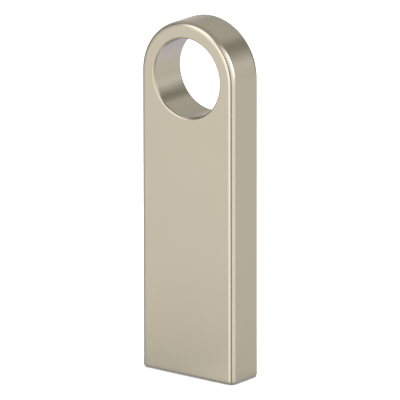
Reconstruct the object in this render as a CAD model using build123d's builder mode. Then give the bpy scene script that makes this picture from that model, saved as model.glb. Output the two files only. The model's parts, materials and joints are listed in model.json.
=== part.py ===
"""Slim capless USB flash drive: a die-cast metal bar with a key-ring eye.

The lower end of the one-piece metal housing is itself the shell of the USB-A plug.
A moulded tray carries the circuit board against the front wall and forms the plug's
tongue with it. A cover closes the board's parts off from the plug's hollow.

Frame: millimetres, +Z up along the bar, origin at the middle of the plug's mouth.
X is the width. Y is the thickness: the plain front face looks towards -Y.
"""
from build123d import *
import os

# Housing, outside
WIDTH = 12.0
THICKNESS = 4.6
LENGTH = 38.2
OUTLINE_EDGE = 0.6  # rounding along the front and back outlines
MOUTH_EDGE = 0.3
EYE_RADIUS = 4.25
EYE_EDGE = 0.2

# Housing, inside
WALL = 0.45
CAVITY_TOP = 27.0
CAVITY_CORNER = 0.3
HOLLOW_DEPTH = 12.6  # how far a socket's tongue may enter
UPPER_HALF_WIDTH = 5.2  # the cavity narrows above the plug
MOUTH_CHAMFER = 0.05
WINDOW_SIZE = (2.3, 2.0)  # openings in the back wall for a socket's springs
WINDOW_CORNER = 0.2
WINDOW_X = 2.6
WINDOW_Z = 5.2

# Circuit board
BOARD_WIDTH = 10.2
BOARD_THICKNESS = 0.8
BOARD_BOTTOM = 0.5
BOARD_TOP = 26.4
BOARD_CORNER = 0.3
BOARD_BEVEL = 0.2
TONGUE_THICKNESS = 1.8  # tray, board and contacts together
CONTACT_THICKNESS = 0.05
CONTACT_WIDTH = 1.2
CONTACT_CORNER = 0.25
CONTACT_END = 8.6
OUTER_CONTACT_X = 3.5
INNER_CONTACT_X = 1.0
OUTER_CONTACT_START = 1.1
INNER_CONTACT_START = 2.1

# Tray and cover
TRAY_BOTTOM = 0.3
TRAY_TOP = 26.7
TRAY_PLUG_WIDTH = 10.9
TRAY_UPPER_WIDTH = 10.2
TRAY_POCKET_WIDTH = 8.8
TRAY_POCKET_BOTTOM = 13.4
TRAY_POCKET_TOP = 25.8
BARB_Z = 17.6
BARB_LENGTH = 1.6
BARB_DEPTH = 0.6
BARB_REACH = 0.3
BARB_RAMP = 0.24
COVER_BOTTOM = 12.8
COVER_TOP = 26.4
COVER_WALL = 0.35
TAB_Z = 22.5
TAB_WIDTH = 1.4
TAB_THICKNESS = 0.35
TAB_DEPTH = 0.5
GAP = 0.05  # assembly clearance between neighbours
SLACK = 0.01  # for picking edges by their place or radius

# Chips
CONTROLLER_SIZE = 5.0
CONTROLLER_HEIGHT = 0.7
CONTROLLER_X = -1.2
CONTROLLER_Z = 18.6
PACKAGE_CHAMFER = 0.08
DIMPLE_RADIUS = 0.28
DIMPLE_INSET = 0.6  # from two sides of the chip
GROUND_PAD = 3.2
SOLDER = 0.05  # solder under a flat package
LAND_PITCH = 0.5
LANDS_PER_SIDE = 8
LAND_SIZE = (0.24, 0.4)
FLASH_WIDTH = 9.0
FLASH_LENGTH = 10.4
FLASH_HEIGHT = 0.9
FLASH_Z = 20.6
FLASH_EDGE = 0.06
BALL_RADIUS = 0.17
BALL_STANDOFF = 0.25
BALL_PITCH = 1.0
BALL_COLUMNS = 8
BALL_ROWS = 9

# Small parts: length, width and height, with the end caps
SMALL_CHIP = (1.0, 0.5, 0.45)
BEAD_CHIP = (1.6, 0.8, 0.8)
BULK_CHIP = (2.0, 1.25, 0.75)
CAP_SHARE = 0.24  # of a chip part's length, for each end cap
CRYSTAL_SIZE = (2.5, 3.2, 0.7)
CRYSTAL_X = 3.0
CRYSTAL_Z = 18.4
CRYSTAL_CORNER = 0.3
CRYSTAL_EDGE = 0.12
REGULATOR_SIZE = (2.9, 1.3, 1.0)
REGULATOR_X = 0.2
REGULATOR_Z = 14.2
REGULATOR_CHAMFER = 0.12
REGULATOR_LIFT = 0.05
LEG_X = 0.95  # the two lower legs, either side of the middle
LEG_WIDTH = 0.4
LEG_STOCK = 0.12
LEG_HEIGHT = 0.5
LEG_SHIN = 0.2  # how far the upright stretch and the toe reach from the package
LEG_TOE = 0.42
SUPPRESSOR_SIZE = (1.6, 1.6, 0.55)
SUPPRESSOR_X = -2.4
SUPPRESSOR_Z = 14.2

# Ground springs
SPRING_X = 4.3
SPRING_WIDTH = 0.7
SPRING_STOCK = 0.12
SPRING_BOTTOM = 13.4
SPRING_TOP = 15.2
SPRING_HEEL = 0.1
SPRING_PAD = 0.7  # length that lies on the back wall
SPRING_BEND = 0.12

# Film and pad
FILM_THICKNESS = 0.1
FOAM_SIZE = (7.0, 8.0)
FOAM_CORNER = 0.5

FRONT = -THICKNESS / 2
BACK = THICKNESS / 2
INNER_FRONT = FRONT + WALL
INNER_BACK = BACK - WALL
EYE_Z = LENGTH - WIDTH / 2
BOARD_BACK = INNER_FRONT + TONGUE_THICKNESS - CONTACT_THICKNESS  # carries the contacts
BOARD_FRONT = BOARD_BACK - BOARD_THICKNESS
COVER_BACK = INNER_BACK - GAP
ROOF = COVER_BACK - COVER_WALL
FLASH_FLOOR = BOARD_BACK + BALL_STANDOFF
FLASH_TOP = FLASH_FLOOR + FLASH_HEIGHT


def save(piece, name):
    """Label a finished piece and write it to its own file."""
    piece.part.label = name
    export_step(piece.part, f"parts/{name}.step")


def end_cap(size):
    """Length of each metal end cap on a chip part of this size."""
    return size[0] * CAP_SHARE


def front_place(x, z, height):
    """Centre of a part of this height that sits on the board's front side."""
    return (x, BOARD_FRONT - height / 2, z)


def back_place(x, z, height):
    """Centre of a part of this height that sits on the board's back side."""
    return (x, BOARD_BACK + height / 2, z)


# Each chip part lies along X: its centre x and z on the board.
BYPASS_PLACES = [front_place(x, z, SMALL_CHIP[2]) for x, z in (
    (-3.4, 14.6), (-1.9, 14.6), (-3.4, 22.6), (-1.9, 22.6), (-0.4, 22.6))]
CRYSTAL_CAP_PLACES = [front_place(x, z, SMALL_CHIP[2]) for x, z in ((2.4, 20.9), (3.8, 20.9))]
DATA_RESISTOR_PLACES = [front_place(x, 14.6, SMALL_CHIP[2]) for x in (-0.3, 1.1)]
PULL_UP_PLACE = front_place(2.9, 14.6, SMALL_CHIP[2])
BEAD_PLACE = back_place(2.9, 13.75, BEAD_CHIP[2])
BULK_PLACE = front_place(2.2, 23.6, BULK_CHIP[2])

os.makedirs("parts", exist_ok=True)

# ---------------------------------------------------------------- housing
# One casting: plug shell, body and key-ring eye.
with BuildPart() as housing:
    with BuildSketch(Plane.XZ.offset(-FRONT)):
        with BuildLine():
            Polyline((WIDTH / 2, EYE_Z), (WIDTH / 2, 0), (-WIDTH / 2, 0), (-WIDTH / 2, EYE_Z))
            RadiusArc((-WIDTH / 2, EYE_Z), (WIDTH / 2, EYE_Z), WIDTH / 2)
        make_face()
    extrude(amount=-THICKNESS)
    faces_of_plate = housing.faces().filter_by(Axis.Y)
    outline_edges = faces_of_plate.edges().filter_by_position(Axis.Z, SLACK, LENGTH)
    fillet(outline_edges, OUTLINE_EDGE)
    mouth_rim = housing.faces().sort_by(Axis.Z)[0].edges()
    fillet(mouth_rim, MOUTH_EDGE)

    # The eye goes right through, concentric with the rounded end.
    with BuildSketch(Plane.XZ.offset(-FRONT)):
        with Locations((0, EYE_Z)):
            Circle(EYE_RADIUS)
    extrude(amount=-THICKNESS, mode=Mode.SUBTRACT)
    eye_edges = housing.edges().filter_by(GeomType.CIRCLE).filter_by(
        lambda edge: abs(edge.radius - EYE_RADIUS) < SLACK)
    fillet(eye_edges, EYE_EDGE)

    # Plug hollow, then the narrower space for the electronics.
    with BuildSketch(Plane.XY):
        RectangleRounded(WIDTH - 2 * WALL, THICKNESS - 2 * WALL, CAVITY_CORNER)
    extrude(amount=HOLLOW_DEPTH + GAP, mode=Mode.SUBTRACT)
    with BuildSketch(Plane.XY):
        RectangleRounded(2 * UPPER_HALF_WIDTH, THICKNESS - 2 * WALL, CAVITY_CORNER)
    extrude(amount=CAVITY_TOP, mode=Mode.SUBTRACT)
    chamfer(housing.faces().sort_by(Axis.Z)[0].inner_wires()[0].edges(), MOUTH_CHAMFER)

    # Pockets in the side walls for the tray's barbs.
    with Locations((0, BOARD_FRONT - BARB_DEPTH / 2, BARB_Z)):
        Box(2 * (UPPER_HALF_WIDTH + BARB_REACH), BARB_DEPTH + 2 * GAP, BARB_LENGTH + 2 * GAP,
            mode=Mode.SUBTRACT)

    # Windows that a socket's retaining springs drop into.
    with BuildSketch(Plane.XZ.offset(-BACK - WALL)):
        with Locations((-WINDOW_X, WINDOW_Z), (WINDOW_X, WINDOW_Z)):
            RectangleRounded(*WINDOW_SIZE, WINDOW_CORNER)
    extrude(amount=3 * WALL, mode=Mode.SUBTRACT)
save(housing, "housing")

# ---------------------------------------------------------------- board_tray
with BuildPart() as board_tray:
    # Solid tongue with a rail along each side of the board, then a frame behind the plug.
    for width, back, bottom, top in (
            (TRAY_PLUG_WIDTH, BOARD_BACK, TRAY_BOTTOM, HOLLOW_DEPTH),
            (TRAY_UPPER_WIDTH, BOARD_FRONT, HOLLOW_DEPTH, TRAY_TOP)):
        with BuildSketch(Plane.XY.offset(bottom)) as tray_section:
            with Locations((0, (INNER_FRONT + back) / 2)):
                Rectangle(width, back - INNER_FRONT)
            fillet(tray_section.vertices().group_by(Axis.Y)[0], CAVITY_CORNER)
        extrude(amount=top - bottom)
    # Seat for the board.
    with Locations((0, (BOARD_FRONT + BOARD_BACK) / 2, (BOARD_BOTTOM + BOARD_TOP) / 2)):
        Box(BOARD_WIDTH + 2 * GAP, BOARD_THICKNESS, BOARD_TOP - BOARD_BOTTOM + 2 * GAP,
            mode=Mode.SUBTRACT)
    # Pocket for the parts on the board's front side, open towards the front wall.
    with Locations((0, INNER_FRONT, (TRAY_POCKET_BOTTOM + TRAY_POCKET_TOP) / 2)):
        Box(TRAY_POCKET_WIDTH, 2 * (BOARD_FRONT - INNER_FRONT),
            TRAY_POCKET_TOP - TRAY_POCKET_BOTTOM, mode=Mode.SUBTRACT)
    # Sockets for the cover's side tabs.
    with Locations((-BOARD_WIDTH / 2, BOARD_FRONT, TAB_Z), (BOARD_WIDTH / 2, BOARD_FRONT, TAB_Z)):
        Box(2 * (TAB_THICKNESS + GAP), 2 * (TAB_DEPTH + GAP), TAB_WIDTH + 2 * GAP,
            mode=Mode.SUBTRACT)
    # Barbs: a ramp at the upper end, which enters first, and a square step below it.
    for side in (-1, 1):
        with BuildSketch(Plane.XY.offset(BARB_Z - BARB_LENGTH / 2)):
            with Locations((side * TRAY_UPPER_WIDTH / 2, BOARD_FRONT - BARB_DEPTH / 2)):
                Rectangle(2 * BARB_REACH, BARB_DEPTH)
        extrude(amount=BARB_LENGTH)
    barb_top = BARB_Z + BARB_LENGTH / 2
    barb_tips = board_tray.edges().filter_by(Axis.Y).filter_by_position(
        Axis.Z, barb_top - SLACK, barb_top + SLACK)
    outer_tips = barb_tips.group_by(Axis.X)[0] + barb_tips.group_by(Axis.X)[-1]
    chamfer(outer_tips, BARB_RAMP)
save(board_tray, "board_tray")

# ---------------------------------------------------------------- component_cover
with BuildPart() as component_cover:
    with BuildSketch(Plane.XY.offset(COVER_BOTTOM)):
        with Locations((0, (BOARD_BACK + COVER_BACK) / 2)):
            Rectangle(BOARD_WIDTH, COVER_BACK - BOARD_BACK)
    extrude(amount=COVER_TOP - COVER_BOTTOM)
    back_corners = component_cover.edges().filter_by(Axis.Z).group_by(Axis.Y)[-1]
    fillet(back_corners, CAVITY_CORNER)
    with Locations((0, BOARD_BACK, (COVER_BOTTOM + COVER_TOP) / 2)):
        Box(BOARD_WIDTH - 2 * COVER_WALL, 2 * (ROOF - BOARD_BACK),
            COVER_TOP - COVER_BOTTOM - 2 * COVER_WALL, mode=Mode.SUBTRACT)
    # Slots that let the ground springs reach the metal.
    spring_middle = (SPRING_BOTTOM + SPRING_TOP) / 2
    with Locations((-SPRING_X, COVER_BACK, spring_middle), (SPRING_X, COVER_BACK, spring_middle)):
        Box(SPRING_WIDTH + 4 * GAP, 4 * COVER_WALL, SPRING_TOP - SPRING_BOTTOM + 4 * GAP,
            mode=Mode.SUBTRACT)
    # Tabs that pass the board's side notches and press into the tray.
    tab_x = (BOARD_WIDTH - TAB_THICKNESS) / 2
    tab_height = BOARD_BACK - BOARD_FRONT + TAB_DEPTH
    with Locations((-tab_x, BOARD_BACK - tab_height / 2, TAB_Z),
                   (tab_x, BOARD_BACK - tab_height / 2, TAB_Z)):
        Box(TAB_THICKNESS, tab_height, TAB_WIDTH)
save(component_cover, "component_cover")

# ---------------------------------------------------------------- circuit_board
with BuildPart() as circuit_board:
    with BuildSketch(Plane.XZ.offset(-BOARD_BACK)):
        with Locations((0, (BOARD_BOTTOM + BOARD_TOP) / 2)):
            RectangleRounded(BOARD_WIDTH, BOARD_TOP - BOARD_BOTTOM, BOARD_CORNER)
        # Side notches for the cover's tabs.
        with Locations((-BOARD_WIDTH / 2, TAB_Z), (BOARD_WIDTH / 2, TAB_Z)):
            Rectangle(2 * (TAB_THICKNESS + GAP), TAB_WIDTH + 2 * GAP, mode=Mode.SUBTRACT)
    extrude(amount=BOARD_THICKNESS)
    # Bevel where a socket's contacts slide on.
    entry_edges = circuit_board.edges().filter_by(Axis.X).sort_by(Axis.Z)[:2]
    chamfer(entry_edges.sort_by(Axis.Y)[-1], BOARD_BEVEL)
save(circuit_board, "circuit_board")


# ---------------------------------------------------------------- contacts
def write_contact(name, x, start):
    """Gold-plated pad on the tongue, from start to the common inner end."""
    with BuildPart() as contact:
        with BuildSketch(Plane.XZ.offset(-BOARD_BACK)):
            with Locations((x, (start + CONTACT_END) / 2)):
                RectangleRounded(CONTACT_WIDTH, CONTACT_END - start, CONTACT_CORNER)
        extrude(amount=-CONTACT_THICKNESS)
    save(contact, name)


write_contact("contact_power", OUTER_CONTACT_X, OUTER_CONTACT_START)
write_contact("contact_data_minus", INNER_CONTACT_X, INNER_CONTACT_START)
write_contact("contact_data_plus", -INNER_CONTACT_X, INNER_CONTACT_START)
write_contact("contact_ground", -OUTER_CONTACT_X, OUTER_CONTACT_START)

# ---------------------------------------------------------------- controller
controller_y = BOARD_FRONT - SOLDER - CONTROLLER_HEIGHT / 2
with BuildPart() as controller_chip:
    with Locations((CONTROLLER_X, controller_y, CONTROLLER_Z)):
        Box(CONTROLLER_SIZE, CONTROLLER_HEIGHT, CONTROLLER_SIZE)
    chamfer(controller_chip.edges().group_by(Axis.Y)[0], PACKAGE_CHAMFER)
    # Dimple that marks the first terminal.
    dimple_reach = CONTROLLER_SIZE / 2 - DIMPLE_INSET
    with Locations((CONTROLLER_X - dimple_reach, controller_y - CONTROLLER_HEIGHT / 2,
                    CONTROLLER_Z + dimple_reach)):
        Sphere(DIMPLE_RADIUS, mode=Mode.SUBTRACT)
save(controller_chip, "controller_chip")

with BuildPart() as controller_lands:
    land_y = BOARD_FRONT - SOLDER / 2
    land_reach = (CONTROLLER_SIZE - LAND_SIZE[1]) / 2
    for side in (-1, 1):
        with Locations((CONTROLLER_X, land_y, CONTROLLER_Z + side * land_reach)):
            with GridLocations(LAND_PITCH, 0, LANDS_PER_SIDE, 1):
                Box(LAND_SIZE[0], SOLDER, LAND_SIZE[1])
    for side in (-1, 1):
        for row in range(LANDS_PER_SIDE):
            z = CONTROLLER_Z + (row - (LANDS_PER_SIDE - 1) / 2) * LAND_PITCH
            with Locations((CONTROLLER_X + side * land_reach, land_y, z)):
                Box(LAND_SIZE[1], SOLDER, LAND_SIZE[0])
    # Ground pad under the middle of the chip.
    with Locations((CONTROLLER_X, land_y, CONTROLLER_Z)):
        Box(GROUND_PAD, SOLDER, GROUND_PAD)
save(controller_lands, "controller_lands")

# ---------------------------------------------------------------- flash memory
with BuildPart() as flash_chip:
    with Locations((0, (FLASH_FLOOR + FLASH_TOP) / 2, FLASH_Z)):
        Box(FLASH_WIDTH, FLASH_HEIGHT, FLASH_LENGTH)
    fillet(flash_chip.edges().group_by(Axis.Y)[-1], FLASH_EDGE)
save(flash_chip, "flash_chip")

with BuildPart() as flash_solder_balls:
    ball_y = (BOARD_BACK + FLASH_FLOOR) / 2
    with BuildSketch(Plane.XZ.offset(-ball_y)):
        with Locations((0, FLASH_Z)):
            with GridLocations(BALL_PITCH, BALL_PITCH, BALL_COLUMNS, BALL_ROWS):
                Circle(BALL_RADIUS)
    extrude(amount=BALL_STANDOFF / 2, both=True)
save(flash_solder_balls, "flash_solder_balls")

# ---------------------------------------------------------------- clock crystal
with BuildPart() as clock_crystal:
    with Locations(front_place(CRYSTAL_X, CRYSTAL_Z, CRYSTAL_SIZE[2])):
        Box(CRYSTAL_SIZE[0], CRYSTAL_SIZE[2], CRYSTAL_SIZE[1])
    fillet(clock_crystal.edges().filter_by(Axis.Y), CRYSTAL_CORNER)
    fillet(clock_crystal.edges().group_by(Axis.Y)[0], CRYSTAL_EDGE)
save(clock_crystal, "clock_crystal")


# ---------------------------------------------------------------- chip parts
def write_chip_bodies(name, places, size):
    """Ceramic bodies of equal chip parts, without their end caps."""
    with BuildPart() as bodies:
        with Locations(*places):
            Box(size[0] - 2 * end_cap(size), size[2], size[1])
    save(bodies, name)


write_chip_bodies("bypass_capacitors", BYPASS_PLACES, SMALL_CHIP)
write_chip_bodies("crystal_capacitors", CRYSTAL_CAP_PLACES, SMALL_CHIP)
write_chip_bodies("data_resistors", DATA_RESISTOR_PLACES, SMALL_CHIP)
write_chip_bodies("pull_up_resistor", [PULL_UP_PLACE], SMALL_CHIP)
write_chip_bodies("ferrite_bead", [BEAD_PLACE], BEAD_CHIP)
write_chip_bodies("bulk_capacitor", [BULK_PLACE], BULK_CHIP)

# Tinned end caps of all the chip parts.
with BuildPart() as chip_end_caps:
    small_places = BYPASS_PLACES + CRYSTAL_CAP_PLACES + DATA_RESISTOR_PLACES + [PULL_UP_PLACE]
    groups = [(small_places, SMALL_CHIP), ([BEAD_PLACE], BEAD_CHIP), ([BULK_PLACE], BULK_CHIP)]
    for places, size in groups:
        reach = (size[0] - end_cap(size)) / 2
        for x, y, z in places:
            with Locations((x - reach, y, z), (x + reach, y, z)):
                Box(end_cap(size), size[2], size[1])
save(chip_end_caps, "chip_end_caps")

# ---------------------------------------------------------------- regulator
with BuildPart() as voltage_regulator:
    with Locations(back_place(REGULATOR_X, REGULATOR_Z, REGULATOR_SIZE[2] + 2 * REGULATOR_LIFT)):
        Box(REGULATOR_SIZE[0], REGULATOR_SIZE[2], REGULATOR_SIZE[1])
    chamfer(voltage_regulator.edges().group_by(Axis.Y)[-1], REGULATOR_CHAMFER)
save(voltage_regulator, "voltage_regulator")

# Gull-wing legs: one on the upper side, two on the lower side.
with BuildPart() as regulator_legs:
    leg_root = REGULATOR_SIZE[1] / 2
    shin_inside = LEG_SHIN - LEG_STOCK
    for x, side in ((0, 1), (-LEG_X, -1), (LEG_X, -1)):
        # Heights above the board and distances from the package.
        outline = ((LEG_HEIGHT, 0), (LEG_HEIGHT, LEG_SHIN), (LEG_STOCK, LEG_SHIN),
                   (LEG_STOCK, LEG_TOE), (0, LEG_TOE), (0, shin_inside),
                   (LEG_HEIGHT - LEG_STOCK, shin_inside), (LEG_HEIGHT - LEG_STOCK, 0))
        with BuildSketch(Plane.YZ.offset(REGULATOR_X + x - LEG_WIDTH / 2)):
            with BuildLine():
                Polyline([(BOARD_BACK + height, REGULATOR_Z + side * (leg_root + distance))
                          for height, distance in outline], close=True)
            make_face()
        extrude(amount=LEG_WIDTH)
save(regulator_legs, "regulator_legs")

# ---------------------------------------------------------------- surge suppressor
with BuildPart() as surge_suppressor:
    with Locations(back_place(SUPPRESSOR_X, SUPPRESSOR_Z, SUPPRESSOR_SIZE[2])):
        Box(SUPPRESSOR_SIZE[0], SUPPRESSOR_SIZE[2], SUPPRESSOR_SIZE[1])
    chamfer(surge_suppressor.edges().group_by(Axis.Y)[-1], PACKAGE_CHAMFER)
save(surge_suppressor, "surge_suppressor")

# ---------------------------------------------------------------- ground springs
# Bent fingers: a soldered foot, an arm across the hollow and a pad on the back wall.
with BuildPart() as ground_springs:
    for side in (-1, 1):
        left_face = side * SPRING_X - SPRING_WIDTH / 2
        low = BOARD_BACK + SPRING_STOCK / 2
        high = INNER_BACK - SPRING_STOCK / 2
        with BuildSketch(Plane.YZ.offset(left_face)):
            with BuildLine() as centre_line:
                FilletPolyline((low, SPRING_TOP), (low, SPRING_BOTTOM + SPRING_HEEL),
                               (high, SPRING_TOP - SPRING_PAD), (high, SPRING_TOP),
                               radius=SPRING_BEND)
            trace(centre_line.line, line_width=SPRING_STOCK)
        extrude(amount=SPRING_WIDTH)
save(ground_springs, "ground_springs")

# ---------------------------------------------------------------- film and pad
film_z = (TRAY_POCKET_BOTTOM + TRAY_POCKET_TOP) / 2
with BuildPart() as insulating_film:
    with Locations((0, INNER_FRONT + FILM_THICKNESS / 2, film_z)):
        Box(TRAY_POCKET_WIDTH - 2 * GAP, FILM_THICKNESS,
            TRAY_POCKET_TOP - TRAY_POCKET_BOTTOM - 2 * GAP)
save(insulating_film, "insulating_film")

with BuildPart() as foam_pad:
    with Locations((0, (FLASH_TOP + ROOF) / 2, FLASH_Z)):
        Box(FOAM_SIZE[0], ROOF - FLASH_TOP, FOAM_SIZE[1])
    fillet(foam_pad.edges().filter_by(Axis.Y), FOAM_CORNER)
save(foam_pad, "foam_pad")
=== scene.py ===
"""Looks of the slim capless flash drive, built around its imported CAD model.

The metal housing is rebuilt as a clean quad mesh with exact surface normals. The pieces
inside it get softened edges. Every piece gets a procedural material. The studio is a pale
floor under an overhead lamp, with soft panels all round for the metal to mirror.
"""
import bmesh
import bpy
import json
import math
from mathutils import Matrix, Vector


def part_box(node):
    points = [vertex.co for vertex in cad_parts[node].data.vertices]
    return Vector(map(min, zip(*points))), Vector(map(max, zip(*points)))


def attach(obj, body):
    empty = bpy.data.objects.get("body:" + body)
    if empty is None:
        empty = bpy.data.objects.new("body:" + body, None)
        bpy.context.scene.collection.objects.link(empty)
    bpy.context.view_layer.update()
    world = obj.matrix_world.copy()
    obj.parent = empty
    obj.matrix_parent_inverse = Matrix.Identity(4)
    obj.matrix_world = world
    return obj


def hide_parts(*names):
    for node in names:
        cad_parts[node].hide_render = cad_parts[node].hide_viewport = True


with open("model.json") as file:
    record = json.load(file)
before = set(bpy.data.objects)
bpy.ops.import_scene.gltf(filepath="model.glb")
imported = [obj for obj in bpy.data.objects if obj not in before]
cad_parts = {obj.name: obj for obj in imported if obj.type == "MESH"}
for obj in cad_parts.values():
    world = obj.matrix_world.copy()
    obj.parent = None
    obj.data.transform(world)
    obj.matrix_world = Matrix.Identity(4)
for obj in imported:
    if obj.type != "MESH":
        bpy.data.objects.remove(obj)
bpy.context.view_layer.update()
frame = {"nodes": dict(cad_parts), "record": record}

MM = 0.001

# ------------------------------------------------------------------ sizes from the frame
HOUSING_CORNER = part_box("housing")[1]
HALF_WIDTH = HOUSING_CORNER.x
HALF_THICKNESS = HOUSING_CORNER.y
EYE_MOUNT = next(m for m in frame["record"]["mounts"] if m["name"] == "key_ring_eye")
EYE_Z = EYE_MOUNT["pos_m"][2]
EYE_RADIUS = EYE_MOUNT["dims"]["r_mm"] * MM

# The housing's own details. The CAD's mouth edge is sharper and its windows don't flare,
# and it has pockets for the tray's barbs, which this housing lacks.
OUTLINE_EDGE = 0.6 * MM
MOUTH_EDGE = 0.36 * MM
EYE_EDGE = 0.2 * MM
WALL = 0.45 * MM
CAVITY_CORNER = 0.3 * MM
MOUTH_CHAMFER = 0.05 * MM
HOLLOW_DEPTH = 12.65 * MM
UPPER_HALF_WIDTH = 5.2 * MM
CAVITY_TOP = 27.0 * MM
WINDOW_HALF = (1.15 * MM, 1.0 * MM)
WINDOW_X = 2.6 * MM
WINDOW_Z = 5.2 * MM
WINDOW_CORNER = 0.2 * MM
WINDOW_FLARE = 0.06 * MM

# How finely the housing is divided.
EYE_POINTS = 96
FILLET_STEPS = 8
SIDE_STEPS = 8
BODY_STEP = 0.9 * MM
DEPTH_STEPS = 8
EYE_WALL_STEPS = 10
WINDOW_CORNER_STEPS = 4

# How near counts as touching, and as on a surface.
TOUCHING = 0.001 * MM
NEAR_SURFACE = 0.005 * MM

FLAT_HALF = HALF_WIDTH - OUTLINE_EDGE
FLAT_DEPTH = HALF_THICKNESS - OUTLINE_EDGE
QUARTER = math.pi / 2


# ------------------------------------------------------------------ mesh helpers
class Skin:
    """Points and faces of a mesh in the making."""

    def __init__(self):
        self.points = []
        self.faces = []

    def add(self, points):
        """Adds points and returns their numbers."""
        start = len(self.points)
        self.points.extend(Vector(p) for p in points)
        return list(range(start, len(self.points)))

    def bridge(self, first, second, closed=True):
        """Quads between two rows of points."""
        count = len(first)
        for i in range(count if closed else count - 1):
            j = (i + 1) % count
            self.faces.append((first[i], first[j], second[j], second[i]))

    def to_object(self, name):
        """Makes the mesh object, with its faces turned outwards."""
        mesh = bpy.data.meshes.new(name)
        mesh.from_pydata(self.points, [], self.faces)
        work = bmesh.new()
        work.from_mesh(mesh)
        bmesh.ops.recalc_face_normals(work, faces=work.faces)
        work.to_mesh(mesh)
        work.free()
        made = bpy.data.objects.new(name, mesh)
        bpy.context.scene.collection.objects.link(made)
        return made


def spread(low, high, steps):
    """steps + 1 even values from low to high."""
    return [low + (high - low) * i / steps for i in range(steps + 1)]


# The front face's columns: where rays from the eye's centre meet the body below it.
CORNER_STEPS = EYE_POINTS // 8
COLUMNS = [math.tan(a) for a in spread(-QUARTER / 2, QUARTER / 2, 2 * CORNER_STEPS)]
NECK_Z = EYE_Z - FLAT_HALF


def plan_ring(half_x, half_y, corner, z):
    """A rounded rectangle at height z, anticlockwise from the front's left end."""
    flat_x = half_x - corner
    flat_y = half_y - corner
    turns = spread(0, QUARTER, FILLET_STEPS)
    points = [(flat_x * c, -half_y, z) for c in COLUMNS]
    points += [(flat_x + corner * math.sin(t), -flat_y - corner * math.cos(t), z)
               for t in turns[1:]]
    points += [(half_x, y, z) for y in spread(-flat_y, flat_y, SIDE_STEPS)[1:]]
    points += [(flat_x + corner * math.cos(t), flat_y + corner * math.sin(t), z)
               for t in turns[1:]]
    points += [(-flat_x * c, half_y, z) for c in COLUMNS[1:]]
    points += [(-flat_x - corner * math.sin(t), flat_y + corner * math.cos(t), z)
               for t in turns[1:]]
    points += [(-half_x, -y, z) for y in spread(-flat_y, flat_y, SIDE_STEPS)[1:]]
    points += [(-flat_x - corner * math.cos(t), -flat_y - corner * math.sin(t), z)
               for t in turns[1:-1]]
    return points


def edge_profile():
    """Distance from the middle and y, from the front face round the side to the back."""
    turns = spread(0, QUARTER, FILLET_STEPS)
    front = [(FLAT_HALF + OUTLINE_EDGE * math.sin(t), -FLAT_DEPTH - OUTLINE_EDGE * math.cos(t))
             for t in turns]
    side = [(HALF_WIDTH, y) for y in spread(-FLAT_DEPTH, FLAT_DEPTH, SIDE_STEPS)[1:-1]]
    back = [(FLAT_HALF + OUTLINE_EDGE * math.cos(t), FLAT_DEPTH + OUTLINE_EDGE * math.sin(t))
            for t in turns]
    return front + side + back


def outline_station(angle, reach, y):
    """A point of the outline at this angle round the eye, where zero is the right side."""
    if 0 <= angle <= math.pi:
        return (reach * math.cos(angle), y, EYE_Z + reach * math.sin(angle))
    if angle < 0:
        return (reach, y, EYE_Z + FLAT_HALF * math.tan(angle))
    return (-reach, y, EYE_Z + FLAT_HALF * math.tan(math.pi - angle))


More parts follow.
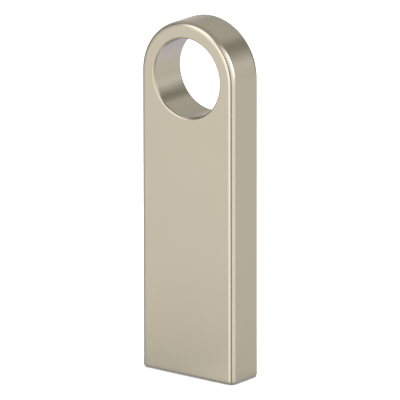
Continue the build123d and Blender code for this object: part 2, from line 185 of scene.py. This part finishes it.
def housing_mesh():
    """The whole casting: body and eye, mouth rim, plug hollow and cavity."""
    skin = Skin()

    # Straight body, from the neck down to the mouth's rounding.
    body_steps = round((NECK_Z - MOUTH_EDGE) / BODY_STEP)
    rings = [skin.add(plan_ring(HALF_WIDTH, HALF_THICKNESS, OUTLINE_EDGE, z))
             for z in spread(NECK_Z, MOUTH_EDGE, body_steps)]
    # Rounded rim of the mouth.
    for turn in spread(0, QUARTER, FILLET_STEPS)[1:]:
        inset = MOUTH_EDGE * (1 - math.cos(turn))
        rings.append(skin.add(plan_ring(
            HALF_WIDTH - inset, HALF_THICKNESS - inset, OUTLINE_EDGE - inset,
            MOUTH_EDGE * (1 - math.sin(turn)))))
    # Chamfer, plug hollow, ledge and the narrower cavity above.
    inner_x = HALF_WIDTH - WALL
    inner_y = HALF_THICKNESS - WALL
    rings.append(skin.add(plan_ring(inner_x + MOUTH_CHAMFER, inner_y + MOUTH_CHAMFER,
                                    CAVITY_CORNER + MOUTH_CHAMFER, 0)))
    for z in spread(MOUTH_CHAMFER, HOLLOW_DEPTH, DEPTH_STEPS):
        rings.append(skin.add(plan_ring(inner_x, inner_y, CAVITY_CORNER, z)))
    for z in spread(HOLLOW_DEPTH, CAVITY_TOP, DEPTH_STEPS):
        rings.append(skin.add(plan_ring(UPPER_HALF_WIDTH, inner_y, CAVITY_CORNER, z)))
    for first, second in zip(rings, rings[1:]):
        skin.bridge(first, second)
    skin.faces.append(tuple(rings[-1]))

    # Sides and rounded end above the neck, joined to the neck's own points.
    neck = rings[0]
    front_count = len(COLUMNS)
    around = 2 * FILLET_STEPS + SIDE_STEPS
    right_end = neck[front_count - 1:front_count + around]
    left_end = [neck[0]] + neck[:-around - 1:-1]
    profile = edge_profile()
    first_angle = -QUARTER / 2
    step = 2 * math.pi / EYE_POINTS
    stations = [right_end]
    for i in range(1, EYE_POINTS - 2 * CORNER_STEPS):
        angle = first_angle + step * i
        if i == CORNER_STEPS:
            angle = 0
        stations.append(skin.add(outline_station(angle, reach, y) for reach, y in profile))
    stations.append(left_end)
    for first, second in zip(stations, stations[1:]):
        skin.bridge(first, second, closed=False)

    # Front and back faces round the eye, and the eye's own wall.
    front_border = [s[0] for s in stations] + neck[1:front_count - 1]
    back_start = front_count + around - 1
    back_middle = neck[back_start + 1:back_start + front_count - 1]
    back_border = [s[-1] for s in stations] + back_middle[::-1]
    rim_radius = EYE_RADIUS + EYE_EDGE
    angles = [first_angle + step * i for i in range(EYE_POINTS)]

    def eye_ring(radius, y):
        return skin.add((radius * math.cos(a), y, EYE_Z + radius * math.sin(a)) for a in angles)

    turns = spread(0, QUARTER, FILLET_STEPS)
    lip = [(rim_radius - EYE_EDGE * math.sin(t), HALF_THICKNESS - EYE_EDGE * (1 - math.cos(t)))
           for t in turns]
    wall_y = HALF_THICKNESS - EYE_EDGE
    eye_rings = [eye_ring(radius, -y) for radius, y in lip]
    eye_rings += [eye_ring(EYE_RADIUS, y) for y in spread(-wall_y, wall_y, EYE_WALL_STEPS)[1:-1]]
    eye_rings += [eye_ring(radius, y) for radius, y in reversed(lip)]
    for border, y, ring in ((front_border, -HALF_THICKNESS, eye_rings[0]),
                            (back_border, HALF_THICKNESS, eye_rings[-1])):
        middle = skin.add((skin.points[b] + skin.points[r]) / 2 for b, r in zip(border, ring))
        skin.bridge(border, middle)
        skin.bridge(middle, ring)
    for first, second in zip(eye_rings, eye_rings[1:]):
        skin.bridge(first, second)
    return skin.to_object("housing_casting")


def window_cutter(x):
    """A rounded block through the back wall that flares at the outer surface."""
    skin = Skin()
    levels = ((HALF_THICKNESS - 2 * WALL, 0), (HALF_THICKNESS - WINDOW_FLARE, 0),
              (HALF_THICKNESS, WINDOW_FLARE), (HALF_THICKNESS + WINDOW_FLARE, 2 * WINDOW_FLARE))
    flat_x = WINDOW_HALF[0] - WINDOW_CORNER
    flat_z = WINDOW_HALF[1] - WINDOW_CORNER
    rings = []
    for y, grow in levels:
        corner = WINDOW_CORNER + grow
        points = []
        for quarter in range(4):
            side_x = 1 if quarter in (0, 3) else -1
            side_z = 1 if quarter in (0, 1) else -1
            for turn in spread(0, QUARTER, WINDOW_CORNER_STEPS):
                angle = quarter * QUARTER + turn
                points.append((x + side_x * flat_x + corner * math.cos(angle), y,
                               WINDOW_Z + side_z * flat_z + corner * math.sin(angle)))
        rings.append(skin.add(points))
    for first, second in zip(rings, rings[1:]):
        skin.bridge(first, second)
    skin.faces.append(tuple(rings[0]))
    skin.faces.append(tuple(rings[-1]))
    return skin.to_object("window_cutter")


def apply_modifiers(piece):
    """Replaces the piece's mesh by its mesh with all modifiers applied."""
    graph = bpy.context.evaluated_depsgraph_get()
    finished = bpy.data.meshes.new_from_object(piece.evaluated_get(graph))
    piece.modifiers.clear()
    piece.data = finished


def outer_normal(p):
    """The exact outward normal of the housing's outer surface at p, or zero inside it."""
    if p.z > EYE_Z:
        spoke = Vector((p.x, 0, p.z - EYE_Z))
    else:
        spoke = Vector((p.x, 0, 0))
    reach = spoke.length
    outward = spoke.normalized()
    side = Vector((0, math.copysign(1, p.y), 0))
    inset = MOUTH_EDGE * (1 - math.sqrt(max(0, 1 - max(0, 1 - p.z / MOUTH_EDGE) ** 2)))
    from_eye = Vector((p.x, 0, p.z - EYE_Z))
    if from_eye.length < EYE_RADIUS + EYE_EDGE - TOUCHING:
        centre = from_eye.normalized() * (EYE_RADIUS + EYE_EDGE)
        depth = max(0, abs(p.y) - (HALF_THICKNESS - EYE_EDGE))
        return (from_eye - centre + side * depth).normalized()
    over_x = max(0, reach - FLAT_HALF)
    over_y = max(0, abs(p.y) - FLAT_DEPTH)
    radial = Vector((over_x, over_y)).length
    on_corner = abs(radial - (OUTLINE_EDGE - inset)) < NEAR_SURFACE
    on_side = abs(reach - (HALF_WIDTH - inset)) < NEAR_SURFACE
    on_face = abs(abs(p.y) - (HALF_THICKNESS - inset)) < NEAR_SURFACE
    if not (on_corner or on_side or on_face) or radial < TOUCHING:
        return Vector((0, 0, 0))
    level = (outward * over_x + side * over_y).normalized()
    if p.z < MOUTH_EDGE:
        drop = 1 - p.z / MOUTH_EDGE
        return (level * math.sqrt(max(0, 1 - drop * drop)) - Vector((0, 0, drop))).normalized()
    return level


def set_exact_normals(mesh, sharp=math.radians(30), agreeing=math.radians(25)):
    """Smooth shading with sharp corners, and exact normals where a face agrees with them."""
    mesh.shade_smooth()
    mesh.set_sharp_from_angle(angle=sharp)
    exact = [outer_normal(v.co) for v in mesh.vertices]
    near = math.cos(agreeing)
    normals = []
    for face in mesh.polygons:
        for corner in face.loop_indices:
            normal = exact[mesh.loops[corner].vertex_index]
            keep = normal.dot(face.normal) > near
            normals.append(normal if keep else Vector((0, 0, 0)))
    mesh.normals_split_custom_set(normals)


def mark_wear(mesh, arc_share=0.3, plug_share=0.25, plug_length=12 * MM):
    """Stores how much handling has polished each point: rounded edges and the plug's end."""
    wear = mesh.attributes.new("wear", "FLOAT", "POINT")
    for vertex in mesh.vertices:
        normal = outer_normal(vertex.co)
        flatness = max(abs(normal.x), abs(normal.y), abs(normal.z))
        edge = min(1, (1 - flatness) / (1 - math.sqrt(0.5))) if normal.length else 0
        if vertex.co.z > EYE_Z:
            edge *= arc_share
        plug = plug_share * max(0, 1 - vertex.co.z / plug_length) ** 2
        wear.data[vertex.index].value = min(1, edge + plug)


# ------------------------------------------------------------------ material helpers
class Nodes:
    """Short ways to build a node tree."""

    def __init__(self, tree):
        self.tree = tree

    def node(self, kind, **settings):
        made = self.tree.nodes.new("ShaderNode" + kind)
        for key, value in settings.items():
            setattr(made, key, value)
        return made

    def put(self, value, socket):
        """Links a socket to this one, or sets a constant on it."""
        if isinstance(value, bpy.types.NodeSocket):
            self.tree.links.new(value, socket)
        else:
            socket.default_value = value

    def math(self, operation, *values):
        made = self.node("Math", operation=operation)
        for value, socket in zip(values, made.inputs):
            self.put(value, socket)
        return made.outputs[0]

    def fall_off(self, distance, scale):
        """Falls from one towards nothing, to about a third over this scale."""
        return self.math("EXPONENT", self.math("DIVIDE", distance, -scale))

    def dot(self, vector, direction):
        """How far the vector reaches along a fixed direction."""
        made = self.node("VectorMath", operation="DOT_PRODUCT")
        self.put(vector, made.inputs[0])
        self.put(direction, made.inputs[1])
        return made.outputs["Value"]

    def fit(self, value, low, high, start=0.3, end=0.7, smooth=False):
        """Maps start to end, by default most of a noise's range, onto low to high."""
        made = self.node("MapRange", interpolation_type="SMOOTHSTEP" if smooth else "LINEAR")
        for number, socket in zip((value, start, end, low, high), made.inputs):
            self.put(number, socket)
        return made.outputs["Result"]

    def blend(self, factor, first, second):
        """Colour from first to second by factor. Each is a colour or a socket."""
        made = self.node("Mix", data_type="RGBA")
        self.put(factor, made.inputs[0])
        for colour, socket in zip((first, second), made.inputs[6:8]):
            self.put((*colour, 1) if isinstance(colour, tuple) else colour, socket)
        return made.outputs[2]


class Paint(Nodes):
    """A material with a Principled shader and object-space coordinates."""

    def __init__(self, name, **sockets):
        self.material = bpy.data.materials.new(name)
        self.material.use_nodes = True
        super().__init__(self.material.node_tree)
        self.shader = self.tree.nodes["Principled BSDF"]
        self.place = self.node("TexCoord").outputs["Object"]
        for socket, value in sockets.items():
            self.drive(socket.replace("_", " "), value)

    def drive(self, socket, value):
        self.put(value, self.shader.inputs[socket])

    def stretched(self, x, y, z):
        """Coordinates scaled by these factors."""
        mapping = self.node("Mapping")
        self.put((x, y, z), mapping.inputs["Scale"])
        self.put(self.place, mapping.inputs["Vector"])
        return mapping.outputs["Vector"]

    def noise(self, scale, detail=3, roughness=0.5, vector=None):
        """Noise with this many features per metre."""
        made = self.node("TexNoise")
        self.put(scale, made.inputs["Scale"])
        self.put(detail, made.inputs["Detail"])
        self.put(roughness, made.inputs["Roughness"])
        self.put(vector or self.place, made.inputs["Vector"])
        return made.outputs["Fac"]

    def bump(self, height, depth, strength=1.0):
        """Relief of this depth in metres."""
        made = self.node("Bump")
        self.put(strength, made.inputs["Strength"])
        self.put(depth, made.inputs["Distance"])
        self.put(height, made.inputs["Height"])
        self.drive("Normal", made.outputs["Normal"])


def satin_nickel():
    """Warm satin nickel: pearl-blasted, then plated, faintly polished where it is handled."""
    paint = Paint("satin_nickel", Metallic=1.0, Specular_Tint=(0.75, 0.74, 0.74, 1))
    cloud = paint.noise(160, detail=2)
    tint = paint.blend(paint.fit(cloud, 0, 1), (0.54, 0.49, 0.38), (0.55, 0.50, 0.39))
    worn = paint.node("Attribute", attribute_name="wear")
    breakup = paint.fit(paint.noise(1400, detail=4), 0, 1, 0.4, 0.65)
    polish = paint.math("MULTIPLY", worn.outputs["Fac"], breakup)
    paint.drive("Base Color", paint.blend(polish, tint, (0.57, 0.52, 0.42)))
    grain = paint.noise(26000, detail=2, roughness=0.6)
    satin = paint.fit(grain, 0.19, 0.23)
    paint.drive("Roughness", paint.math("SUBTRACT", satin, paint.math("MULTIPLY", polish, 0.05)))
    paint.bump(grain, 0.0006 * MM, 0.5)
    return paint.material


def moulded_plastic():
    """Black glass-filled plastic with a fine spark-eroded texture."""
    paint = Paint("moulded_plastic")
    paint.drive("Specular IOR Level", 0.45)
    mottle = paint.fit(paint.noise(900, detail=3), 0, 1)
    paint.drive("Base Color", paint.blend(mottle, (0.012, 0.012, 0.013), (0.020, 0.020, 0.021)))
    grain = paint.noise(14000, detail=3)
    paint.drive("Roughness", paint.fit(grain, 0.42, 0.58))
    paint.bump(grain, 0.004 * MM, 0.5)
    return paint.material


def board_laminate():
    """Green solder mask over laminate, with the copper pattern faintly raised under it."""
    paint = Paint("board_laminate", Coat_Weight=0.35, Coat_Roughness=0.18)
    weave_x = paint.node("TexWave", bands_direction="X")
    weave_z = paint.node("TexWave", bands_direction="Z")
    for wave in (weave_x, weave_z):
        paint.put(900, wave.inputs["Scale"])
        paint.put(paint.place, wave.inputs["Vector"])
    weave = paint.math("MULTIPLY", weave_x.outputs["Fac"], weave_z.outputs["Fac"])
    tracks = paint.node("TexBrick")
    paint.put(520, tracks.inputs["Scale"])
    paint.put(0.03, tracks.inputs["Mortar Size"])
    paint.put(paint.stretched(1, 1, 0.35), tracks.inputs["Vector"])
    mask = paint.blend(paint.fit(weave, 0, 1, 0, 1), (0.010, 0.075, 0.030), (0.014, 0.095, 0.038))
    copper = paint.blend(tracks.outputs["Fac"], mask, (0.030, 0.150, 0.055))
    paint.drive("Base Color", copper)
    paint.drive("Roughness", paint.fit(weave, 0.34, 0.42, 0, 1))
    paint.bump(tracks.outputs["Fac"], 0.02 * MM, 0.6)
    return paint.material


def contact_gold():
    """Hard gold over nickel, with rub marks along the way a socket's springs slide."""
    paint = Paint("contact_gold", Metallic=1.0)
    rubs = paint.noise(1, detail=4, vector=paint.stretched(9000, 9000, 260))
    patina = paint.noise(700, detail=3)
    paint.drive("Base Color",
                paint.blend(paint.fit(patina, 0, 1), (0.90, 0.66, 0.28), (0.82, 0.58, 0.24)))
    paint.drive("Roughness", paint.fit(rubs, 0.16, 0.34))
    paint.bump(rubs, 0.002 * MM, 0.5)
    return paint.material


def chip_moulding():
    """Matt black moulding compound with its silica filler just visible."""
    paint = Paint("chip_moulding")
    filler = paint.noise(22000, detail=3)
    flow = paint.noise(420, detail=2)
    dark = paint.blend(paint.fit(filler, 0, 1), (0.016, 0.016, 0.017), (0.030, 0.030, 0.031))
    paint.drive("Base Color", paint.blend(paint.fit(flow, 0, 0.4), dark, (0.024, 0.023, 0.024)))
    paint.drive("Roughness", paint.fit(filler, 0.5, 0.68))
    paint.bump(filler, 0.003 * MM, 0.5)
    return paint.material


def solder_tin():
    """Reflowed tin solder, slightly frosted."""
    paint = Paint("solder_tin", Metallic=1.0)
    frost = paint.noise(5200, detail=4)
    paint.drive("Base Color",
                paint.blend(paint.fit(frost, 0, 1), (0.62, 0.62, 0.63), (0.74, 0.74, 0.75)))
    paint.drive("Roughness", paint.fit(frost, 0.22, 0.45))
    paint.bump(frost, 0.004 * MM, 0.4)
    return paint.material


def crystal_can():
    """Drawn and plated steel can with faint drawing lines."""
    paint = Paint("crystal_can", Metallic=1.0)
    lines = paint.noise(1, detail=3, vector=paint.stretched(400, 400, 12000))
    paint.drive("Base Color",
                paint.blend(paint.fit(lines, 0, 1), (0.60, 0.58, 0.53), (0.68, 0.66, 0.61)))
    paint.drive("Roughness", paint.fit(lines, 0.20, 0.34))
    paint.bump(lines, 0.002 * MM, 0.4)
    return paint.material


def fired_ceramic(name, dark, light):
    """Fired ceramic body of a chip part, with its fine speckle."""
    paint = Paint(name)
    speckle = paint.noise(16000, detail=3)
    paint.drive("Base Color", paint.blend(paint.fit(speckle, 0, 1), dark, light))
    paint.drive("Roughness", paint.fit(speckle, 0.35, 0.55))
    paint.bump(speckle, 0.002 * MM, 0.4)
    return paint.material


def spring_bronze():
    """Tempered bronze strip with rolling lines and a warm oxide."""
    paint = Paint("spring_bronze", Metallic=1.0)
    rolling = paint.noise(1, detail=3, vector=paint.stretched(14000, 600, 600))
    oxide = paint.noise(1200, detail=3)
    paint.drive("Base Color",
                paint.blend(paint.fit(oxide, 0, 1), (0.66, 0.46, 0.24), (0.52, 0.34, 0.17)))
    paint.drive("Roughness", paint.fit(rolling, 0.22, 0.40))
    paint.bump(rolling, 0.002 * MM, 0.4)
    return paint.material


def amber_film():
    """Thin amber insulating film, glossy and slightly rippled."""
    paint = Paint("amber_film", Coat_Weight=0.5, Coat_Roughness=0.08)
    ripple = paint.noise(500, detail=2)
    paint.drive("Base Color",
                paint.blend(paint.fit(ripple, 0, 1), (0.50, 0.21, 0.02), (0.60, 0.28, 0.04)))
    paint.drive("Roughness", paint.fit(ripple, 0.18, 0.28))
    paint.bump(ripple, 0.02 * MM, 0.5)
    return paint.material


def cell_foam():
    """Closed-cell foam: small rounded cells, with painted shade darkening their pits."""
    paint = Paint("cell_foam", Sheen_Weight=0.2)
    cells = paint.node("TexVoronoi", feature="SMOOTH_F1")
    paint.put(4200, cells.inputs["Scale"])
    paint.put(paint.place, cells.inputs["Vector"])
    depth = paint.fit(cells.outputs["Distance"], 0, 1, 0.1, 0.7)
    # Base colour is darker where the cells sink in: painted shade in the pits, following the
    # relief.
    paint.drive("Base Color", paint.blend(depth, (0.050, 0.050, 0.052), (0.12, 0.12, 0.12)))
    paint.drive("Roughness", paint.fit(depth, 0.75, 0.95, 0, 1))
    paint.bump(depth, 0.05 * MM, 0.8)
    return paint.material


def pale_floor():
    """Plain white matt paper with the slightest tooth."""
    paint = Paint("pale_floor")
    paint.drive("Specular IOR Level", 0.2)
    tooth = paint.noise(2600, detail=3)
    paint.drive("Base Color",
                paint.blend(paint.fit(tooth, 0, 1), (0.86, 0.86, 0.86), (0.90, 0.90, 0.90)))
    paint.drive("Roughness", paint.fit(tooth, 0.85, 0.95))
    return paint.material


# ------------------------------------------------------------------ pieces
def make_housing():
    """The visible casting, which stands for the CAD housing."""
    casting = housing_mesh()
    cutters = [window_cutter(side * WINDOW_X) for side in (-1, 1)]
    for cutter in cutters:
        cut = casting.modifiers.new("window", "BOOLEAN")
        cut.operation = "DIFFERENCE"
        cut.solver = "EXACT"
        cut.object = cutter
    apply_modifiers(casting)
    for cutter in cutters:
        bpy.data.objects.remove(cutter)
    set_exact_normals(casting.data)
    mark_wear(casting.data)
    casting.data.materials.clear()
    casting.data.materials.append(satin_nickel())
    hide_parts("housing")
    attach(casting, "root")


# How the inner pieces' edges are found: points this close are one, faces this near to level
# are one, and edges steeper than these are rounded and drawn sharp.
WELD = 0.002 * MM
LEVEL = math.radians(2)
ROUNDED = math.radians(35)
SHARP = math.radians(50)


def soften(node, width, steps=2):
    """A copy of a CAD node with its sharp edges rounded, which stands for the node."""
    source = frame["nodes"][node]
    piece = bpy.data.objects.new(node + "_finished", source.data.copy())
    bpy.context.scene.collection.objects.link(piece)
    work = bmesh.new()
    work.from_mesh(piece.data)
    bmesh.ops.remove_doubles(work, verts=work.verts, dist=WELD)
    bmesh.ops.dissolve_limit(work, angle_limit=LEVEL, verts=work.verts, edges=work.edges)
    work.to_mesh(piece.data)
    work.free()
    if piece.data.has_custom_normals:
        piece.data.normals_split_custom_set_from_vertices(
            [(0, 0, 0)] * len(piece.data.vertices))
    bevel = piece.modifiers.new("edges", "BEVEL")
    bevel.width = width
    bevel.segments = steps
    bevel.limit_method = "ANGLE"
    bevel.angle_limit = ROUNDED
    bevel.harden_normals = False
    apply_modifiers(piece)
    piece.data.shade_smooth()
    piece.data.set_sharp_from_angle(angle=SHARP)
    weighted = piece.modifiers.new("even_normals", "WEIGHTED_NORMAL")
    weighted.keep_sharp = True
    apply_modifiers(piece)
    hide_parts(node)
    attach(piece, "root")
    return piece


def finish_inner_pieces():
    """Softened edges and real materials for everything inside the housing."""
    plastic = moulded_plastic()
    gold = contact_gold()
    moulding = chip_moulding()
    tin = solder_tin()
    tan = fired_ceramic("tan_ceramic", (0.36, 0.23, 0.14), (0.44, 0.30, 0.19))
    black = fired_ceramic("black_ceramic", (0.015, 0.015, 0.018), (0.035, 0.035, 0.040))
    grey = fired_ceramic("ferrite_ceramic", (0.070, 0.066, 0.066), (0.12, 0.115, 0.115))
    # A piece's node, material, slot and the width of its rounded edges in millimetres.
    looks = (
        ("board_tray", plastic, "black_plastic", 0.06),
        ("component_cover", plastic, "black_plastic", 0.05),
        ("circuit_board", board_laminate(), "solder_mask", 0.03),
        ("contact_power", gold, "contact_gold", 0.015),
        ("contact_data_minus", gold, "contact_gold", 0.015),
        ("contact_data_plus", gold, "contact_gold", 0.015),
        ("contact_ground", gold, "contact_gold", 0.015),
        ("controller_chip", moulding, "chip_moulding", 0.03),
        ("controller_lands", tin, "solder_tin", 0.01),
        ("flash_chip", moulding, "chip_moulding", 0.03),
        ("flash_solder_balls", tin, "solder_tin", 0.05),
        ("clock_crystal", crystal_can(), "crystal_can", 0.03),
        ("crystal_capacitors", tan, "capacitor_ceramic", 0.03),
        ("bypass_capacitors", tan, "capacitor_ceramic", 0.03),
        ("bulk_capacitor", tan, "capacitor_ceramic", 0.04),
        ("data_resistors", black, "resistor_ceramic", 0.03),
        ("pull_up_resistor", black, "resistor_ceramic", 0.03),
        ("ferrite_bead", grey, "ferrite", 0.04),
        ("chip_end_caps", tin, "solder_tin", 0.03),
        ("surge_suppressor", moulding, "chip_moulding", 0.03),
        ("voltage_regulator", moulding, "chip_moulding", 0.03),
        ("regulator_legs", tin, "solder_tin", 0.03),
        ("ground_springs", spring_bronze(), "spring_bronze", 0.02),
        ("insulating_film", amber_film(), "amber_film", 0.02),
        ("foam_pad", cell_foam(), "grey_foam", 0.08),
    )
    for node, material, slot, width in looks:
        piece = soften(node, width * MM)
        piece.data.materials.clear()
        piece.data.materials.append(material)


# ------------------------------------------------------------------ studio
# About the drive's middle, which the lamp and the camera point at.
MIDDLE = Vector((0, 0, 20 * MM))
FLOOR_REACH = 3.0
FILM_REACH = 100 * MM
FILM_HEIGHT = 0.01 * MM

# The film's shades: the scale each fades over, its share left and right of the drive's
# middle, and whether the share changes smoothly over the span on either side of it.
FILM_SHADES = (
    (0.8 * MM, 0.1, 0.3, False),
    (20 * MM, 0.25, 0.1, True),
)
FILM_SHADE_SPAN = 4 * MM


def level_square(name, reach, height):
    """A square sheet round the drive, this far each way and at this height."""
    skin = Skin()
    corners = skin.add([(-reach, -reach, height), (reach, -reach, height),
                        (reach, reach, height), (-reach, reach, height)])
    skin.faces.append(tuple(corners))
    return skin.to_object(name)


def make_floor():
    """A plain pale floor. The metal mirrors the studio's panels instead of it."""
    floor = level_square("floor", FLOOR_REACH, 0)
    floor.data.materials.append(pale_floor())
    floor.visible_glossy = False


def make_shade_film():
    """A film on the floor, for mirrored rays alone, that is darkest beside the drive's foot."""
    material = bpy.data.materials.new("contact_shade")
    material.use_nodes = True
    nodes = Nodes(material.node_tree)
    place = nodes.node("TexCoord").outputs["Object"]
    outside = nodes.node("VectorMath", operation="ABSOLUTE")
    nodes.put(place, outside.inputs[0])
    gap = nodes.node("VectorMath", operation="SUBTRACT")
    nodes.put(outside.outputs["Vector"], gap.inputs[0])
    nodes.put((HALF_WIDTH, HALF_THICKNESS, 1), gap.inputs[1])
    beyond = nodes.node("VectorMath", operation="MAXIMUM")
    nodes.put(gap.outputs["Vector"], beyond.inputs[0])
    nodes.put((0, 0, 0), beyond.inputs[1])
    length = nodes.node("VectorMath", operation="LENGTH")
    nodes.put(beyond.outputs["Vector"], length.inputs[0])
    distance = length.outputs["Value"]
    across = nodes.dot(place, (1, 0, 0))
    shades = []
    span = FILM_SHADE_SPAN
    for scale, left, right, smooth in FILM_SHADES:
        share = nodes.fit(across, left, right, -span, span, smooth=smooth)
        shades.append(nodes.math("MULTIPLY", nodes.fall_off(distance, scale), share))
    dark = nodes.math("ADD", *shades)
    clear = nodes.node("BsdfTransparent")
    nodes.put(nodes.blend(dark, (1.0, 1.0, 1.0), (0.0, 0.0, 0.0)), clear.inputs["Color"])
    nodes.put(clear.outputs["BSDF"], nodes.tree.nodes["Material Output"].inputs["Surface"])
    nodes.tree.nodes.remove(nodes.tree.nodes["Principled BSDF"])

    film = level_square("contact_shade", FILM_REACH, FILM_HEIGHT)
    film.data.materials.append(material)
    film.visible_camera = False
    film.visible_diffuse = False
    film.visible_transmission = False
    film.visible_shadow = False


# What surrounds the drive, in steps of five degrees. A panel is its name, azimuth, half
# width, lowest and highest elevation, brightness and tint. Later panels cover earlier ones.
PAPER = (1.0, 1.0, 1.0)
COOL = (0.98, 1.0, 1.1)
DUSK = (1.0, 1.0, 1.2)
SHADE = (1.0, 1.0, 0.8)
ALL_ROUND = 360
ALL_BELOW = -120
PANEL_BLUR = math.radians(10)
PANELS = (
    ("table", 0, ALL_ROUND, ALL_BELOW, 20, 0.85, PAPER),
    ("rear_table", 195, 60, -75, -30, 0.9, DUSK),
    ("rear_wall", 220, 60, 20, 50, 0.65, PAPER),
    ("left_wall", -15, 20, -20, 60, 1.6, PAPER),
    ("left_lamp", -25, 25, 25, 50, 2.3, COOL),
    ("front_lamp", 5, 10, -20, 20, 2.2, COOL),
    ("right_wall", 80, 40, -20, 50, 1.4, PAPER),
    ("right_lamp", 115, 15, 5, 35, 5.5, COOL),
    ("camera_gap", 35, 10, -40, 20, 0.2, SHADE),
    ("dark_doorway", 165, 20, -5, 20, 0.1, SHADE),
    ("dark_beam", 150, 10, 25, 45, 0.25, SHADE),
    ("dark_left_side", 280, 10, -15, 40, 0.2, PAPER),
)
SURROUNDINGS = 0.5


def make_world():
    """Pale panels and dark gaps around the drive, which the camera sees as plain white."""
    world = bpy.data.worlds.new("studio")
    bpy.context.scene.world = world
    world.use_nodes = True
    nodes = Nodes(world.node_tree)
    direction = nodes.node("TexCoord").outputs["Generated"]
    level = nodes.node("VectorMath", operation="MULTIPLY")
    nodes.put(direction, level.inputs[0])
    nodes.put((1, 1, 0), level.inputs[1])
    heading = nodes.node("VectorMath", operation="NORMALIZE")
    nodes.put(level.outputs["Vector"], heading.inputs[0])
    height = nodes.math("ARCSINE", nodes.dot(direction, (0, 0, 1)))

    light = tuple(SURROUNDINGS * part for part in PAPER)
    for name, azimuth, half, lowest, highest, brightness, tint in PANELS:
        half, lowest, highest = (math.radians(a) for a in (half, lowest, highest))
        turn = nodes.math("ARCCOSINE", nodes.dot(heading.outputs["Vector"], toward(azimuth, 0)))
        across = nodes.fit(turn, 1, 0, half - PANEL_BLUR, half + PANEL_BLUR, smooth=True)
        bottom = nodes.fit(height, 0, 1, lowest - PANEL_BLUR, lowest + PANEL_BLUR, smooth=True)
        top = nodes.fit(height, 1, 0, highest - PANEL_BLUR, highest + PANEL_BLUR, smooth=True)
        cover = nodes.math("MULTIPLY", across, nodes.math("MULTIPLY", bottom, top))
        light = nodes.blend(cover, light, tuple(brightness * part for part in tint))
        light.node.label = name

    seen = nodes.node("LightPath").outputs["Is Camera Ray"]
    nodes.put(nodes.blend(seen, light, (1.0, 1.0, 1.0)),
              world.node_tree.nodes["Background"].inputs["Color"])


def toward(azimuth, elevation):
    """Unit vector from the drive. Azimuth 0 is in front of it, 90 on its right."""
    turn = math.radians(azimuth)
    lift = math.radians(elevation)
    return Vector((math.sin(turn) * math.cos(lift), -math.cos(turn) * math.cos(lift),
                   math.sin(lift)))


def make_lamp():
    """A soft bank overhead, for the floor. The metal doesn't mirror it."""
    side = 1.4
    radiance = 7.0
    distance = 1.8
    direction = toward(40, 88)
    data = bpy.data.lights.new("overhead_bank", "AREA")
    data.shape = "SQUARE"
    data.size = side
    data.energy = radiance * math.pi * side * side
    bank = bpy.data.objects.new("overhead_bank", data)
    bpy.context.scene.collection.objects.link(bank)
    bank.location = MIDDLE + direction * distance
    bank.rotation_euler = direction.to_track_quat("Z", "Y").to_euler()
    bank.visible_glossy = False


def make_camera():
    """A long lens at the drive's front right, a little above it."""
    distance = 0.83
    below_middle = 1.3 * MM
    roll = math.radians(-0.1)
    back = toward(37.5, 15.6)
    right = Vector((0, 0, 1)).cross(back).normalized()
    up = back.cross(right)
    tilted_right = right * math.cos(roll) + up * math.sin(roll)
    tilted_up = up * math.cos(roll) - right * math.sin(roll)
    aim = MIDDLE - tilted_up * below_middle
    data = bpy.data.cameras.new("camera")
    data.sensor_width = 36
    data.lens = 717
    data.clip_start = 0.05
    data.clip_end = 20
    camera = bpy.data.objects.new("camera", data)
    bpy.context.scene.collection.objects.link(camera)
    turn = Matrix((tilted_right, tilted_up, back)).transposed()
    camera.matrix_world = Matrix.Translation(aim + back * distance) @ turn.to_4x4()
    bpy.context.scene.camera = camera


make_housing()
finish_inner_pieces()
make_floor()
make_shade_film()
make_world()
make_lamp()
make_camera()
bpy.context.scene.view_settings.view_transform = "Standard"
